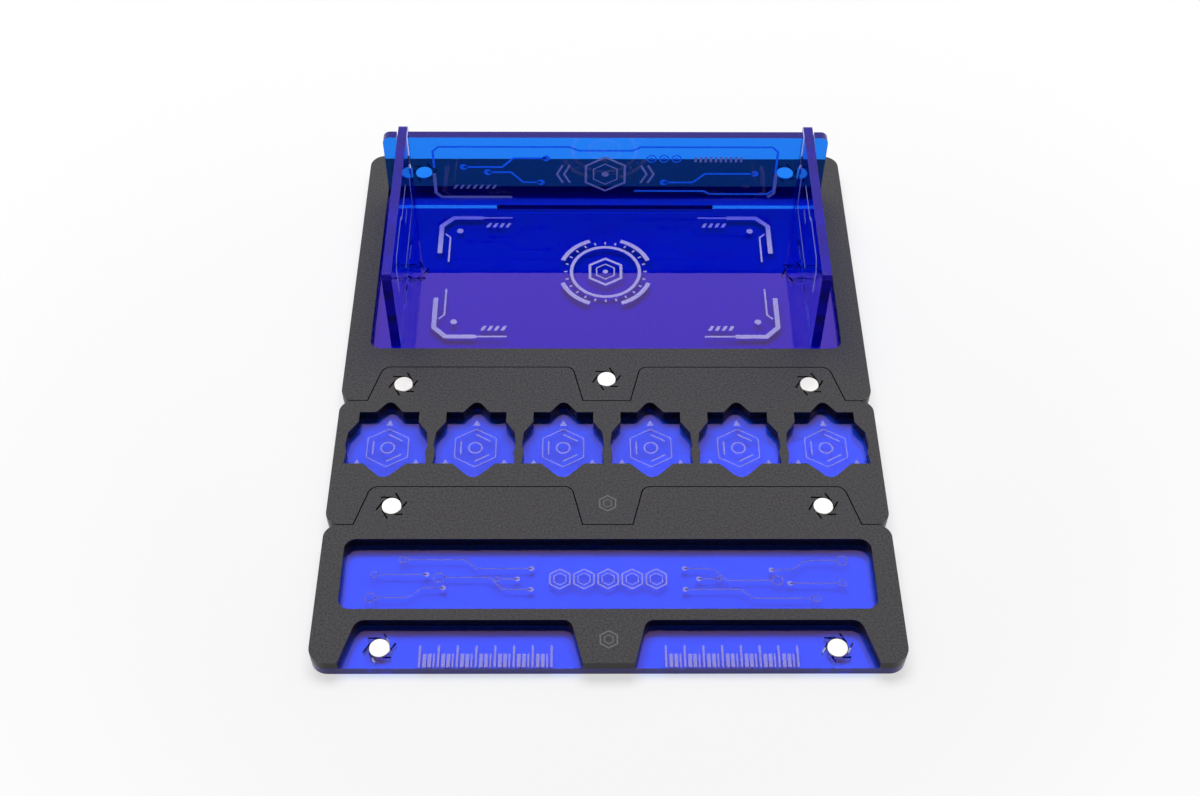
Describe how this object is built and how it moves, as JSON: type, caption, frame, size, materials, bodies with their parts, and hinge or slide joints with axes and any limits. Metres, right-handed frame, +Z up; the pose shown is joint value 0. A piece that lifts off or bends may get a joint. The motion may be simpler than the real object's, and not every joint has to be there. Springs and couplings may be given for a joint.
{
  "type": "dice tray",
  "caption": "Flat modular dice tray: a rolling tray with three upright clear walls, a holder with dice pockets and a front tray, docked in a row by disc magnets.",
  "frame": {"origin": "on the table, under the middle of the docked set's bounding box", "axes": "+Z up, +Y from the front tray towards the rear wall, +X to the right as seen from the front tray"},
  "size_m": [0.165, 0.2038, 0.0353],
  "materials": {
    "blue_acrylic": "polished, clear deep blue, with matt laser-cut edges",
    "charcoal_acrylic": "matt, opaque",
    "nickel": "nickel plate"
  },
  "bodies": {
    "rolling_tray": {"rolling_base": "blue_acrylic", "rolling_frame": "charcoal_acrylic", "tongue_magnet": "nickel", "rail_magnet_left": "nickel", "rail_magnet_right": "nickel", "rolling_dock_magnet_left": "nickel", "rolling_dock_magnet_right": "nickel", "spare_socket_disc_left": "blue_acrylic", "spare_socket_disc_right": "blue_acrylic"},
    "rear_wall": {"rear_wall": "blue_acrylic"},
    "left_wall": {"left_wall": "blue_acrylic"},
    "right_wall": {"right_wall": "blue_acrylic"},
    "dice_holder": {"holder_base": "blue_acrylic", "holder_frame": "charcoal_acrylic", "holder_tab_magnet_left": "nickel", "holder_tab_magnet_right": "nickel", "holder_dock_magnet_left": "nickel", "holder_dock_magnet_right": "nickel"},
    "front_tray": {"tray_base": "blue_acrylic", "tray_frame": "charcoal_acrylic", "tray_tab_magnet_left": "nickel", "tray_tab_magnet_right": "nickel", "tray_dock_magnet_left": "nickel", "tray_dock_magnet_right": "nickel"}
  },
  "joints": [
    {"name": "rear_wall_lift", "type": "slide", "parent": "rolling_tray", "child": "rear_wall", "axis": [0, 0, 1], "range_m": [0, 0.04]},
    {"name": "left_wall_lift", "type": "slide", "parent": "rear_wall", "child": "left_wall", "axis": [0, 0, 1], "range_m": [0, 0.04]},
    {"name": "right_wall_lift", "type": "slide", "parent": "rear_wall", "child": "right_wall", "axis": [0, 0, 1], "range_m": [0, 0.04]},
    {"name": "holder_lift", "type": "slide", "parent": "rolling_tray", "child": "dice_holder", "axis": [0, 0, 1], "range_m": [0, 0.03]},
    {"name": "tray_lift", "type": "slide", "parent": "dice_holder", "child": "front_tray", "axis": [0, 0, 1], "range_m": [0, 0.03]}
  ]
}
